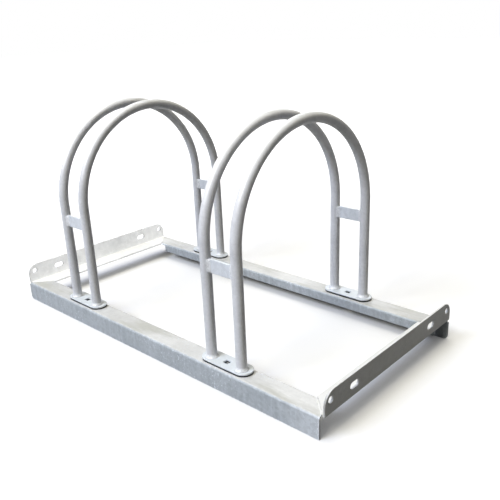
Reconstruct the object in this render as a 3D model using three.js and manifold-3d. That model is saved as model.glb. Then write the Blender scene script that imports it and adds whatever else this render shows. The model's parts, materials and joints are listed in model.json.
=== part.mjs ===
// Floor bike rack for two bicycles: a low frame of folded rails and end angles, with two pairs of hoops.
// Millimetres. +X runs along the rails, +Y from the near rail to the far rail, +Z up.
// The origin is on the floor, half way along the rack and half way across it.
import * as THREE from "three";
import { mergeVertices } from "three/addons/utils/BufferGeometryUtils.js";
import Module from "manifold-3d";

const wasm = await Module();
wasm.setup();

// Driving dimensions.
const rackLength = 700; // over the outer faces of the end angles
const rackWidth = 338; // over the outer faces of the rails
const hoopHeight = 371.5; // floor to the top of the hoops
const sheet = 3; // thickness of the folded sheet
const gap = 0.3; // clearance between a piece and the one it is cut by

const railHeight = 34; // floor to the rail's top face
const railTopWidth = 35;
const railInnerFlange = 17; // depth of the rail's short flange
const railBendRadius = 4; // outside of the rail's bends
const railSquareEnd = 343; // the rail's outer flange stops here at one end, and is flush at the other
const railInnerFlangeEnd = 300; // the short flange stops here at the square end
const railFootRadius = 7; // rounded lower corner at the flush end
const innerFlangeCornerRadius = 4;

const angleLength = 335; // along Y
const angleFlangeWidth = 36; // along X, outer face to free edge
const angleTop = 67.5; // floor to the upstand's top edge
const angleBendRadius = 6; // outside of the bend
const angleCornerRadius = 20; // upstand's top corners
const rightAngleShift = 1.5; // the right angle sits this far along +Y
const roundHoleDiameter = 10;
const roundHole = { y: 155.5, z: 54.5 }; // from the middle of the upstand
const slotLength = 20;
const slotWidth = 10;
const slot = { y: 103, z: 50.5 };

const barDiameter = 16; // round bar of the hoops
const hoopRadius = 153.5; // centre line
const hoopSpacing = 59; // between the centre lines of the two hoops of a pair
const pairCentres = { left: -178, right: 168.5 };
const pairShift = 2; // the hoops stand this far along +Y from the middle of the rack

const footPlate = { length: 92, width: 30, thickness: 5, legOffset: 1.5 }; // offset of the legs, outwards
const squareHole = 9; // for the square neck of a coach bolt
const boltHoleDiameter = 9; // round hole in the rail under the square hole, and the screw holes

const spacer = { height: 20, thickness: 4, bottom: 172 };
const spacerWeldRoom = 1.3; // between the bar's end and the leg

const legWeld = { baseWidth: 2.6, height: 4.5, topWidth: 0.4 };
const cornerWeld = { capWidth: 5, capHeight: 0.75, rootWidth: 1, start: 6, end: 40 };

const screw = { diameter: 8, length: 25, headWidth: 13, headHeight: 5.5 };
const washer = { diameter: 16, thickness: 1.5 };
const tappedDepth = 18; // blind hole up into the end of each leg

// Derived places.
const halfLength = rackLength / 2;
const halfWidth = rackWidth / 2;
const innerFaceY = halfWidth - railTopWidth; // rail's inner side
const angleEdgeX = halfLength - angleFlangeWidth; // free edge of the angle's flange
const plateDistance = hoopRadius - footPlate.legOffset; // from the middle of a pair to a foot plate's middle
const sheetUnderside = railHeight - sheet;
const plateTop = railHeight + footPlate.thickness;
const barRadius = barDiameter / 2;
const archCentreZ = hoopHeight - barRadius - hoopRadius;
const legLength = archCentreZ - plateTop;
const mitreOffset = angleEdgeX - innerFaceY; // the mitre line is |X| = |Y| + mitreOffset
const mitreCutback = cornerWeld.rootWidth / 2 + gap; // each sheet stops this far from the mitre line

// Facet counts.
const barSides = 16;
const archSteps = 36;
const holeSides = 16;
const bendSteps = 2;

// Axes that an extruded profile's own x, y and z turn to.
const alongX = new THREE.Matrix4().set(0, 0, 1, 0, 1, 0, 0, 0, 0, 1, 0, 0, 0, 0, 0, 1); // x, y, z to Y, Z, X
const alongMinusY = new THREE.Matrix4().set(1, 0, 0, 0, 0, 0, -1, 0, 0, 1, 0, 0, 0, 0, 0, 1); // to X, Z, -Y

const finishes = {
  frame: new THREE.MeshStandardMaterial({ color: 0xa4abb4, roughness: 0.5, metalness: 0.85 }),
  hoop: new THREE.MeshStandardMaterial({ color: 0xb6babf, roughness: 0.4, metalness: 0.85 }),
  plate: new THREE.MeshStandardMaterial({ color: 0xc0c4c8, roughness: 0.45, metalness: 0.8 }),
  weld: new THREE.MeshStandardMaterial({ color: 0xcacdd0, roughness: 0.5, metalness: 0.8 }),
  fastener: new THREE.MeshStandardMaterial({ color: 0xb0b4b6, roughness: 0.35, metalness: 0.9 }),
};

// A closed geometry as a solid that can be cut and joined.
function toSolid(geometry) {
  const bare = geometry.clone();
  bare.deleteAttribute("normal");
  bare.deleteAttribute("uv");
  const merged = mergeVertices(bare, 1e-4);
  return new wasm.Manifold(
    new wasm.Mesh({
      numProp: 3,
      vertProperties: new Float32Array(merged.attributes.position.array),
      triVerts: new Uint32Array(merged.index.array),
    }),
  );
}

function toGeometry(solid) {
  const cut = solid.getMesh();
  const geometry = new THREE.BufferGeometry();
  geometry.setAttribute("position", new THREE.BufferAttribute(cut.vertProperties, 3));
  geometry.setIndex(new THREE.BufferAttribute(cut.triVerts, 1));
  geometry.computeVertexNormals();
  return geometry;
}

function subtractAll(solid, cutters) {
  return cutters.reduce((rest, cutter) => rest.subtract(cutter), solid);
}

// A flat shape in X and Y, raised from one height to another.
function raised(shape, bottom, top, curveSegments = 8) {
  const depth = top - bottom;
  const geometry = new THREE.ExtrudeGeometry(shape, { depth, bevelEnabled: false, curveSegments });
  return geometry.translate(0, 0, bottom);
}

function polygon(points) {
  return new THREE.Shape(points.map(([x, y]) => new THREE.Vector2(x, y)));
}

function uprightHole(x, y, diameter, bottom, top) {
  const hole = new THREE.CylinderGeometry(diameter / 2, diameter / 2, top - bottom, holeSides);
  return toSolid(hole.rotateX(Math.PI / 2).translate(x, y, (bottom + top) / 2));
}

// Everything on one side of the mitre line at the corner (signX, signY), between two heights.
function mitreCutter(signX, signY, angleSide, bottom, top) {
  const reach = 60;
  const back = mitreCutback * Math.SQRT2 * (angleSide ? -1 : 1);
  const inner = [signX * (angleEdgeX - reach + back), signY * (innerFaceY - reach)];
  const outer = [signX * (halfLength + reach + back), signY * (innerFaceY + angleFlangeWidth + reach)];
  const corner = angleSide ? [outer[0], inner[1]] : [inner[0], outer[1]];
  return toSolid(raised(polygon([inner, outer, corner]), bottom, top));
}

// Rails: a channel with a deep outer flange that stands on the floor and a short inner one.
function channelProfile() {
  const outer = -halfWidth;
  const inner = -innerFaceY;
  const r = railBendRadius;
  const shape = new THREE.Shape();
  shape.moveTo(outer, 0);
  shape.lineTo(outer, railHeight - r);
  shape.absarc(outer + r, railHeight - r, r, Math.PI, Math.PI / 2, true);
  shape.lineTo(inner - r, railHeight);
  shape.absarc(inner - r, railHeight - r, r, Math.PI / 2, 0, true);
  shape.lineTo(inner, railHeight - railInnerFlange);
  shape.lineTo(inner - sheet, railHeight - railInnerFlange);
  shape.lineTo(inner - sheet, railHeight - r);
  shape.absarc(inner - r, railHeight - r, r - sheet, 0, Math.PI / 2, false);
  shape.lineTo(outer + r, sheetUnderside);
  shape.absarc(outer + r, railHeight - r, r - sheet, Math.PI / 2, Math.PI, false);
  shape.lineTo(outer + sheet, 0);
  return shape;
}

// Takes away what lies beyond x, with the lower corner left round. It cuts from y = back to y = front.
function endCutter(x, signX, cornerZ, cornerRadius, top, back, front) {
  const far = x + signX * 80;
  const cornerX = x - signX * cornerRadius;
  const endAngle = signX > 0 ? 0 : -Math.PI;
  const shape = new THREE.Shape();
  shape.moveTo(cornerX, cornerZ);
  shape.absarc(cornerX, cornerZ + cornerRadius, cornerRadius, -Math.PI / 2, endAngle, signX < 0);
  shape.lineTo(x, top);
  shape.lineTo(far, top);
  shape.lineTo(far, cornerZ - 10);
  shape.lineTo(cornerX, cornerZ - 10);
  const depth = front - back;
  const geometry = new THREE.ExtrudeGeometry(shape, { depth, bevelEnabled: false, curveSegments: 3 });
  return toSolid(geometry.applyMatrix4(alongMinusY).translate(0, front, 0));
}

// One rail in the near rail's place. Its flush end is at -X. holes are its round holes' places.
function railGeometry(holes) {
  const length = halfLength + railSquareEnd;
  const channel = new THREE.ExtrudeGeometry(channelProfile(), {
    depth: length, bevelEnabled: false, curveSegments: bendSteps,
  });
  channel.applyMatrix4(alongX).translate(-halfLength, 0, 0);
  const aboveAngle = sheetUnderside - gap;
  const cutters = [
    endCutter(-halfLength, -1, 0, railFootRadius, railHeight + 10, -halfWidth - 10, -halfWidth + 10),
  ];
  for (const [signX, flangeEnd] of [[-1, railSquareEnd], [1, railInnerFlangeEnd]]) {
    cutters.push(mitreCutter(signX, -1, true, aboveAngle, railHeight + 10));
    cutters.push(endCutter(
      signX * flangeEnd, signX, railHeight - railInnerFlange, innerFlangeCornerRadius,
      aboveAngle, -innerFaceY - railBendRadius - 1, -innerFaceY + 10,
    ));
  }
  for (const [x, y] of holes) {
    cutters.push(uprightHole(x, y, boltHoleDiameter, railHeight - 10, railHeight + 10));
  }
  return toGeometry(subtractAll(toSolid(channel), cutters));
}

// End angles: a flange level with the rails' top faces, and an upstand with bolt holes.
function angleProfile() {
  const r = angleBendRadius;
  const shape = new THREE.Shape();
  shape.moveTo(angleEdgeX, sheetUnderside);
  shape.lineTo(halfLength - r, sheetUnderside);
  shape.absarc(halfLength - r, sheetUnderside + r, r, -Math.PI / 2, 0, false);
  shape.lineTo(halfLength, angleTop);
  shape.lineTo(halfLength - sheet, angleTop);
  shape.lineTo(halfLength - sheet, sheetUnderside + r);
  shape.absarc(halfLength - r, sheetUnderside + r, r - sheet, 0, -Math.PI / 2, true);
  shape.lineTo(angleEdgeX, railHeight);
  return shape;
}

// A cutter along X through the upstand, from an outline in Y and Z.
function throughUpstand(shape, curveSegments) {
  const depth = 20;
  const geometry = new THREE.ExtrudeGeometry(shape, { depth, bevelEnabled: false, curveSegments });
  return toSolid(geometry.applyMatrix4(alongX).translate(halfLength - depth / 2, 0, 0));
}

function slotShape(y, z, length, width) {
  const reach = (length - width) / 2;
  const shape = new THREE.Shape();
  shape.absarc(y + reach, z, width / 2, -Math.PI / 2, Math.PI / 2, false);
  shape.absarc(y - reach, z, width / 2, Math.PI / 2, Math.PI * 1.5, false);
  return shape;
}

// What is left over outside a top corner of the upstand when it is rounded.
function topCornerShape(signY) {
  const y = signY * angleLength / 2;
  const r = angleCornerRadius;
  const shape = new THREE.Shape();
  shape.moveTo(y, angleTop - r);
  shape.absarc(y - signY * r, angleTop - r, r, signY > 0 ? 0 : Math.PI, Math.PI / 2, signY < 0);
  shape.lineTo(y - signY * r, angleTop + 10);
  shape.lineTo(y + signY * 10, angleTop + 10);
  shape.lineTo(y + signY * 10, angleTop - r);
  return shape;
}

// One end angle in the right one's place, moved along Y by shift. The mitres stay with the rails.
function angleGeometry(shift) {
  const profile = new THREE.ExtrudeGeometry(angleProfile(), {
    depth: angleLength, bevelEnabled: false, curveSegments: bendSteps,
  });
  profile.applyMatrix4(alongMinusY).translate(0, angleLength / 2, 0);
  const cutters = [];
  for (const signY of [-1, 1]) {
    const hole = new THREE.Shape();
    hole.absarc(signY * roundHole.y, roundHole.z, roundHoleDiameter / 2, 0, Math.PI * 2, false);
    cutters.push(throughUpstand(hole, holeSides / 2));
    cutters.push(throughUpstand(slotShape(signY * slot.y, slot.z, slotLength, slotWidth), holeSides / 4));
    cutters.push(throughUpstand(topCornerShape(signY), 4));
  }
  const drilled = subtractAll(toSolid(profile), cutters).translate([0, shift, 0]);
  const mitres = [-1, 1].map((signY) => mitreCutter(1, signY, false, 0, railHeight + gap));
  return toGeometry(subtractAll(drilled, mitres));
}

// Hoops: two straight legs and a half circle. A step's ends fall where a leg meets the half circle.
class HoopCurve extends THREE.Curve {
  getUtoTmapping(u) {
    return u;
  }

  getPoint(t, target = new THREE.Vector3()) {
    const step = t * (archSteps + 2) - 1;
    if (step <= 0) {
      return target.set(0, -hoopRadius, archCentreZ + step * legLength);
    }
    if (step >= archSteps) {
      return target.set(0, hoopRadius, archCentreZ - (step - archSteps) * legLength);
    }
    const turn = Math.PI * step / archSteps;
    return target.set(0, -hoopRadius * Math.cos(turn), archCentreZ + hoopRadius * Math.sin(turn));
  }
}

function hoopGeometry() {
  const section = new THREE.Shape();
  section.absarc(0, 0, barRadius, 0, Math.PI * 2, false);
  const bar = new THREE.ExtrudeGeometry(section, {
    steps: archSteps + 2, extrudePath: new HoopCurve(), bevelEnabled: false, curveSegments: barSides / 2,
  });
  const tapped = [-hoopRadius, hoopRadius].map(
    (y) => uprightHole(0, y, screw.diameter + 2 * gap, plateTop - 1, plateTop + tappedDepth),
  );
  return toGeometry(subtractAll(toSolid(bar), tapped));
}

// Foot plate: round-ended flat plate, with a square hole in the middle and a screw hole under each leg.
// Its own origin is the middle of its underside, and the rack's outer side is towards -Y.
function footPlateGeometry() {
  const outline = slotShape(0, 0, footPlate.length, footPlate.width);
  const half = squareHole / 2;
  const square = polygon([[-half, -half], [half, -half], [half, half], [-half, half]]);
  const cutters = [toSolid(raised(square, -1, footPlate.thickness + 1))];
  for (const side of [-1, 1]) {
    const x = side * hoopSpacing / 2;
    cutters.push(uprightHole(x, -footPlate.legOffset, boltHoleDiameter, -1, footPlate.thickness + 1));
  }
  return toGeometry(subtractAll(toSolid(raised(outline, 0, footPlate.thickness)), cutters));
}

// Fillet weld round the foot of a leg, hollow to its throat like a flared collar.
function legWeldGeometry() {
  const inside = barRadius + gap;
  const points = [new THREE.Vector2(inside, 0)];
  const steps = 4;
  for (let i = 0; i <= steps; i++) {
    const up = i / steps;
    const width = legWeld.topWidth + (legWeld.baseWidth - legWeld.topWidth) * (1 - up) ** 2;
    points.push(new THREE.Vector2(inside + width, up * legWeld.height));
  }
  points.push(new THREE.Vector2(inside, legWeld.height));
  points.push(points[0].clone());
  const ring = new THREE.LatheGeometry(points, barSides);
  return toGeometry(toSolid(ring.rotateX(Math.PI / 2)));
}

function spacerGeometry() {
  const length = hoopSpacing - barDiameter - 2 * spacerWeldRoom;
  return new THREE.BoxGeometry(length, spacer.thickness, spacer.height);
}

// Weld at one end of a spacer bar: it fills the room between leg and bar and laps both faces of the bar.
// Its own origin is on the leg's centre line, with the bar towards +X.
function spacerWeldGeometry() {
  const inside = barRadius + gap;
  const wrap = THREE.MathUtils.degToRad(50);
  const barEnd = barRadius + spacerWeldRoom - gap;
  const barFace = spacer.thickness / 2 + gap;
  const lap = 4;
  const hollow = [barEnd - 0.4, barFace + 1.3]; // the fillet's face is drawn in here
  const shape = new THREE.Shape();
  shape.moveTo(inside * Math.cos(wrap), -inside * Math.sin(wrap));
  shape.lineTo(hollow[0], -hollow[1]);
  shape.lineTo(barEnd + lap, -barFace);
  shape.lineTo(barEnd, -barFace);
  shape.lineTo(barEnd, barFace);
  shape.lineTo(barEnd + lap, barFace);
  shape.lineTo(hollow[0], hollow[1]);
  shape.lineTo(inside * Math.cos(wrap), inside * Math.sin(wrap));
  shape.absarc(0, 0, inside, wrap, -wrap, true);
  const trim = 0.5; // the weld stops this far short of the bar's top and bottom edges
  return toGeometry(toSolid(raised(shape, trim - spacer.height / 2, spacer.height / 2 - trim, 3)));
}

// Butt weld along a mitre, in its own frame along +X: a root between the sheets and a low cap over them.
function cornerWeldGeometry() {
  const { capWidth, capHeight, rootWidth, start, end } = cornerWeld;
  const root = rootWidth / 2;
  const rootDepth = gap - sheet;
  const bead = polygon([
    [-root, rootDepth], [root, rootDepth], [root, 0], [capWidth / 2, 0],
    [capWidth / 4, capHeight], [-capWidth / 4, capHeight], [-capWidth / 2, 0], [-root, 0],
  ]);
  const geometry = new THREE.ExtrudeGeometry(bead, { depth: end - start, bevelEnabled: false });
  return toGeometry(toSolid(geometry.applyMatrix4(alongX).translate(start, 0, 0)));
}

// Hexagon screw, head down, with its own origin under the head's washer face.
function screwGeometry() {
  const head = new THREE.CylinderGeometry(
    screw.headWidth / Math.sqrt(3), screw.headWidth / Math.sqrt(3), screw.headHeight, 6,
  );
  head.rotateX(Math.PI / 2).translate(0, 0, -screw.headHeight / 2);
  const overlap = 1; // the shank is rooted this far inside the head
  const shank = uprightHole(0, 0, screw.diameter, -overlap, screw.length);
  return toGeometry(toSolid(head).add(shank));
}

function washerGeometry() {
  const disc = uprightHole(0, 0, washer.diameter, 0, washer.thickness);
  const bore = uprightHole(0, 0, screw.diameter + 2 * gap, -1, washer.thickness + 1);
  return toGeometry(disc.subtract(bore));
}

function piece(name, geometry, finish, x = 0, y = 0, z = 0, turn = 0) {
  const mesh = new THREE.Mesh(geometry, finish);
  mesh.name = name;
  mesh.position.set(x, y, z);
  mesh.rotation.z = turn;
  return mesh;
}

const shapes = {
  hoop: hoopGeometry(),
  footPlate: footPlateGeometry(),
  legWeld: legWeldGeometry(),
  spacer: spacerGeometry(),
  spacerWeld: spacerWeldGeometry(),
  cornerWeld: cornerWeldGeometry(),
  screw: screwGeometry(),
  washer: washerGeometry(),
};

// Places of the holes on one side of the rack: for each pair, one under each leg and one between them.
function holePlaces(signY) {
  const legY = pairShift + signY * hoopRadius;
  const boltY = pairShift + signY * plateDistance;
  return Object.values(pairCentres).flatMap((centre) => [
    [centre - hoopSpacing / 2, legY], [centre, boltY], [centre + hoopSpacing / 2, legY],
  ]);
}

// The frame. The far rail and the left angle are turned half round from their partners' places.
function frameGroup() {
  const frame = new THREE.Group();
  const farHoles = holePlaces(1).map(([x, y]) => [-x, -y]);
  frame.add(piece("near_rail", railGeometry(holePlaces(-1)), finishes.frame));
  frame.add(piece("far_rail", railGeometry(farHoles), finishes.frame, 0, 0, 0, Math.PI));
  frame.add(piece("right_end_angle", angleGeometry(rightAngleShift), finishes.frame));
  frame.add(piece("left_end_angle", angleGeometry(0), finishes.frame, 0, 0, 0, Math.PI));
  for (const [end, signX] of [["left", -1], ["right", 1]]) {
    for (const [side, signY] of [["near", -1], ["far", 1]]) {
      const turn = Math.atan2(signY, signX);
      const name = `${end}_${side}_corner_weld`;
      frame.add(piece(
        name, shapes.cornerWeld, finishes.weld, signX * angleEdgeX, signY * innerFaceY, railHeight, turn,
      ));
    }
  }
  return frame;
}

// One foot of a pair of hoops, in the near side's place, with names for its -X and +X leg.
function footGroup(end, side, legNames) {
  const foot = new THREE.Group();
  const prefix = `${end}_${side}`;
  foot.add(piece(`${prefix}_foot_plate`, shapes.footPlate, finishes.plate, 0, -plateDistance, railHeight));
  const spacerZ = spacer.bottom + spacer.height / 2;
  foot.add(piece(`${prefix}_spacer_bar`, shapes.spacer, finishes.plate, 0, -hoopRadius, spacerZ));
  legNames.forEach((leg, i) => {
    const x = (i === 0 ? -1 : 1) * hoopSpacing / 2;
    const name = `${end}_${leg}_${side}`;
    const washerZ = sheetUnderside - washer.thickness;
    foot.add(piece(`${name}_leg_weld`, shapes.legWeld, finishes.weld, x, -hoopRadius, plateTop));
    const turn = i === 0 ? 0 : Math.PI;
    foot.add(piece(`${name}_spacer_weld`, shapes.spacerWeld, finishes.weld, x, -hoopRadius, spacerZ, turn));
    foot.add(piece(`${name}_foot_screw`, shapes.screw, finishes.fastener, x, -hoopRadius, washerZ));
    foot.add(piece(`${name}_foot_washer`, shapes.washer, finishes.fastener, x, -hoopRadius, washerZ));
  });
  return foot;
}

// A pair of hoops. The outer hoop is the one nearer the rack's end.
function hoopPairGroup(end, legNames) {
  const pair = new THREE.Group();
  pair.position.set(pairCentres[end], pairShift, 0);
  legNames.forEach((leg, i) => {
    const x = (i === 0 ? -1 : 1) * hoopSpacing / 2;
    pair.add(piece(`${end}_${leg}_hoop`, shapes.hoop, finishes.hoop, x));
  });
  const far = footGroup(end, "far", [...legNames].reverse());
  far.rotation.z = Math.PI;
  pair.add(footGroup(end, "near", legNames), far);
  return pair;
}

const rack = new THREE.Group();
rack.add(frameGroup());
rack.add(hoopPairGroup("left", ["outer", "inner"]));
rack.add(hoopPairGroup("right", ["inner", "outer"]));

export default rack;
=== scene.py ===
import json
import math

import bmesh
import bpy
from mathutils import Matrix, Vector, noise

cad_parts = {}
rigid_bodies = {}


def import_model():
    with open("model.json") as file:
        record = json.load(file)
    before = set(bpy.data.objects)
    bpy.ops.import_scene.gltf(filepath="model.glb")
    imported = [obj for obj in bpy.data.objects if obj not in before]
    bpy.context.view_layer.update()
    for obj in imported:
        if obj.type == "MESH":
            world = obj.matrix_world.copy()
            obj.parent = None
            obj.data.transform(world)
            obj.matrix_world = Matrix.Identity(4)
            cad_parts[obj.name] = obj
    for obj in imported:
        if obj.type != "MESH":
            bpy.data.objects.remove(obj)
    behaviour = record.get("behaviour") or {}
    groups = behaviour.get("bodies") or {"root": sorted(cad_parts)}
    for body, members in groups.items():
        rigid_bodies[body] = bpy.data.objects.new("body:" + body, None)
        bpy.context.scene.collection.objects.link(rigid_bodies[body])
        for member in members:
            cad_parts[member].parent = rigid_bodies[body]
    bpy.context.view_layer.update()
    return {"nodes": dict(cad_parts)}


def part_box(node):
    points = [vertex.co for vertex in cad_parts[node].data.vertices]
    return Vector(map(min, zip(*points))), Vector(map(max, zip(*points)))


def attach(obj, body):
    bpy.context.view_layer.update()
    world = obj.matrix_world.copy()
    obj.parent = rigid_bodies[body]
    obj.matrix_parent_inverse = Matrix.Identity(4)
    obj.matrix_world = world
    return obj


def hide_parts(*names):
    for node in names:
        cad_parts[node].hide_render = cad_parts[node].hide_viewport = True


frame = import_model()
print("frame loaded:", len(frame["nodes"]), "nodes")

mm = 0.001
deg = math.radians

# camera

camera = {
    "place": (0.72235, -0.68456, 0.49023),
    "azimuth": 43.126,
    "elevation": 20.252,
    "roll": -2.416,
    "focalLength": 44.456,
    "sensor": 36,
}


def setCamera():
    turn, tilt, roll = (deg(camera[key]) for key in ("azimuth", "elevation", "roll"))
    back = Vector((math.sin(turn) * math.cos(tilt), -math.cos(turn) * math.cos(tilt), math.sin(tilt)))
    level = Vector((0, 0, 1)).cross(back).normalized()
    rise = back.cross(level)
    right = math.cos(roll) * level + math.sin(roll) * rise
    up = math.cos(roll) * rise - math.sin(roll) * level
    data = bpy.data.cameras.new("camera")
    data.lens = camera["focalLength"]
    data.sensor_width = camera["sensor"]
    data.sensor_fit = "HORIZONTAL"
    view = bpy.data.objects.new("camera", data)
    view.matrix_world = Matrix.Translation(camera["place"]) @ Matrix((right, up, back)).transposed().to_4x4()
    bpy.context.scene.collection.objects.link(view)
    bpy.context.scene.camera = view


setCamera()

# zinc finishes

# in each finish the top colours are painted light from above: faces that look up are given them in place of
# the upright colours
finishes = {
    "rail": {
        "slot": "galvanised_frame",
        "light": (0.505, 0.54, 0.57),
        "dark": (0.385, 0.42, 0.45),
        "topLight": (0.79, 0.79, 0.775),
        "topDark": (0.57, 0.57, 0.555),
        "topFrom": (0.7, 0.95),  # how far a face looks up where it begins to pale, and where it is palest
        "fleck": 0.9,  # strength of the light specks
        "spangle": 250,  # crystals a metre
        "spangleDepth": 0.10,
        "streaks": 0.15,  # strength of the runs
        "roughness": (0.40, 0.62),
        "shine": 0.4,
        "metal": 0.05,
        "bump": 0.10,
        "build": 2.5 * mm,  # usual width of the zinc drops and painted highlight along the square ends
        "paleEnd": (55 * mm, 20 * mm, 0.3),  # from that end: where the face pales, is palest, and how much
        "stain": 0.85,  # brownish clouds on the tops
    },
    "angle": {
        "slot": "galvanised_frame",
        "light": (0.475, 0.475, 0.455),
        "dark": (0.36, 0.36, 0.345),
        "topLight": (0.82, 0.82, 0.80),
        "topDark": (0.70, 0.70, 0.68),
        "topFrom": (0.6, 0.9),
        "fleck": 0.3,
        "spangle": 150,
        "spangleDepth": 0.05,
        "streaks": 0.03,
        "roughness": (0.40, 0.62),
        "shine": 0.4,
        "metal": 0.05,
        "bump": 0.10,
    },
    "bar": {
        "slot": "galvanised_bar",
        "light": (0.78, 0.785, 0.805),
        "dark": (0.64, 0.645, 0.67),
        "topLight": (0.93, 0.93, 0.92),
        "topDark": (0.87, 0.87, 0.86),
        "topFrom": (0.25, 0.65),
        "fleck": 0.15,
        "spangle": 260,
        "spangleDepth": 0.04,
        "streaks": 0.06,
        "roughness": (0.28, 0.45),
        "shine": 0.25,
        "metal": 0.03,
        "bump": 0.08,
    },
    "flat": {
        "slot": "galvanised_flat",
        "light": (0.74, 0.77, 0.81),
        "dark": (0.63, 0.66, 0.70),
        "topLight": (0.73, 0.77, 0.79),
        "topDark": (0.69, 0.73, 0.75),
        "topFrom": (0.6, 0.9),
        "fleck": 0.3,
        "spangle": 210,
        "spangleDepth": 0.06,
        "streaks": 0.05,
        "roughness": (0.32, 0.52),
        "shine": 0.35,
        "metal": 0.05,
        "bump": 0.10,
        "grime": 2.6 * mm,  # painted shade and some dirt, this high up the edges of the foot plates
    },
    # the weld beads are paler than the bars, partly a painted highlight on the beads
    "weld": {
        "slot": "weld_metal",
        "light": (0.84, 0.85, 0.87),
        "dark": (0.68, 0.69, 0.71),
        "topLight": (0.90, 0.90, 0.90),
        "topDark": (0.76, 0.76, 0.76),
        "topFrom": (0.5, 0.9),
        "fleck": 0.3,
        "spangle": 700,
        "spangleDepth": 0.10,
        "streaks": 0.0,
        "roughness": (0.22, 0.40),
        "shine": 0.4,
        "metal": 0.05,
        "bump": 0.25,
    },
    "fastener": {
        "slot": "zinc_fastener",
        "light": (0.66, 0.67, 0.67),
        "dark": (0.50, 0.51, 0.52),
        "topLight": (0.66, 0.66, 0.62),
        "topDark": (0.52, 0.52, 0.50),
        "topFrom": (0.5, 0.8),
        "fleck": 0.0,
        "spangle": 900,
        "spangleDepth": 0.04,
        "streaks": 0.0,
        "roughness": (0.25, 0.40),
        "shine": 0.5,
        "metal": 0.45,
        "bump": 0.04,
    },
}

# grain that the finishes share: its scale per metre, detail and roughness, the scales along x, y and z
# where it is drawn out, and the part of its range that shows
grains = {
    "cloud": {"grain": (9, 4.0, 0.6), "shown": (0.35, 0.65)},
    "patch": {"grain": (45, 5.0, 0.65), "shown": (0.35, 0.68)},
    "downRuns": {"drawnOut": (130, 130, 9), "grain": (1, 4.0, 0.6)},
    "alongRuns": {"drawnOut": (5, 150, 150), "grain": (1, 4.0, 0.6), "shown": (0.3, 0.7)},
    "speck": {"grain": (330, 2.0), "shown": (0.60, 0.70)},
    "drift": {"grain": (14, 2.0), "shown": (0.45, 0.65)},
    "drops": {"grain": (500, 2.0), "shown": (0.35, 0.65)},
    "stain": {"drawnOut": (10, 45, 45), "grain": (1, 3.0, 0.55), "shown": (0.48, 0.66)},
    "fine": {"grain": (1400, 3.0)},
}

zinc = {
    "wobbleScale": 0.8,  # of the push on the crystals' edges, beside the crystals' own scale
    "wobbleDetail": 2.0,
    "wobbleReach": 0.4,  # in crystals
    "uprightShares": (0.45, 0.55),  # of clouds and patches
    "topShares": (0.8, 0.2),
    "alongRunRange": (0.43, 0.57),  # the runs on level faces are weaker
    "runRange": (0.3, 0.7),
    "fleckLift": 1.45,  # how much paler than the upright faces the specks are
    "dropReach": (0.2, 1.3),  # of the gathered zinc, beside its usual width
    "dropStrength": 0.75,
    "buildAndHighlightColour": (0.86, 0.89, 0.93),  # of the drops, painted pale as a highlight, and of the paler face beside them
    "stainColour": (0.50, 0.50, 0.455),
    # painted shade, with some dirt, in the joint under the foot plates
    "jointShadeAndDirtColour": (0.03, 0.03, 0.028),
    "jointShadeAndDirtFade": (0.2 * mm, 0.1 * mm),  # below and above the height where the painted shade and dirt end
    "topSpangle": 0.3,  # share of the crystals' contrast that is left on top
    "glossShares": (0.5, 0.5),  # of crystals and patches
    "reliefShares": (0.35, 0.8, 0.15),  # of fine grain, patches and crystals
    "reliefDepth": 1.2 * mm,
}


class NodeBoard:
    # adds nodes to a material and joins them as they are added

    def __init__(self, tree):
        self.tree = tree

    def add(self, kind, settings=None, **inputs):
        node = self.tree.nodes.new(kind)
        for key, value in (settings or {}).items():
            setattr(node, key, value)
        for key, value in inputs.items():
            self.feed(node.inputs[key.replace("_", " ")], value)
        return node

    def feed(self, socket, value):
        if isinstance(value, bpy.types.NodeSocket):
            self.tree.links.new(value, socket)
        else:
            socket.default_value = value

    def maths(self, operation, *values):
        node = self.tree.nodes.new("ShaderNodeMath")
        node.operation = operation
        for socket, value in zip(node.inputs, values):
            self.feed(socket, value)
        return node.outputs[0]

    def spread(self, value, low, high, toLow=0.0, toHigh=1.0):
        node = self.tree.nodes.new("ShaderNodeMapRange")
        for socket, number in zip(node.inputs, (value, low, high, toLow, toHigh)):
            self.feed(socket, number)
        return node.outputs[0]

    def blend(self, kind, amount, first, second):
        node = self.tree.nodes.new("ShaderNodeMix")
        node.data_type = "RGBA"
        node.blend_type = kind
        self.feed(node.inputs[0], amount)
        self.feed(node.inputs[6], first)
        self.feed(node.inputs[7], second)
        return node.outputs[2]

    def grain(self, vector, scale, detail=2.0, roughness=0.5):
        node = self.add("ShaderNodeTexNoise", Vector=vector, Scale=scale, Detail=detail, Roughness=roughness)
        return node.outputs["Fac"]

    def stretched(self, vector, scale):
        node = self.add("ShaderNodeMapping", Vector=vector)
        node.inputs["Scale"].default_value = scale
        return node.outputs[0]

    def shares(self, *pairs):
        # adds up values, each times its share
        parts = [self.maths("MULTIPLY", value, share) for value, share in pairs]
        total = parts[0]
        for part in parts[1:]:
            total = self.maths("ADD", total, part)
        return total

    def shaded(self, colour, factor):
        grey = self.add("ShaderNodeCombineColor", Red=factor, Green=factor, Blue=factor).outputs[0]
        return self.blend("MULTIPLY", 1.0, colour, grey)

    def opposite(self, value):
        return self.maths("SUBTRACT", 1.0, value)

    def axes(self, vector):
        return self.add("ShaderNodeSeparateXYZ", Vector=vector).outputs


def opaque(colour):
    return (*colour, 1.0)


def addGrain(board, kind, place, toLow=0.0, toHigh=1.0):
    wanted = grains[kind]
    if "drawnOut" in wanted:
        place = board.stretched(place, wanted["drawnOut"])
    value = board.grain(place, *wanted["grain"])
    if "shown" in wanted:
        value = board.spread(value, *wanted["shown"], toLow, toHigh)
    return value


# each of the next five takes the colour so far and gives it back with more on it; level is 1 on top


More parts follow.
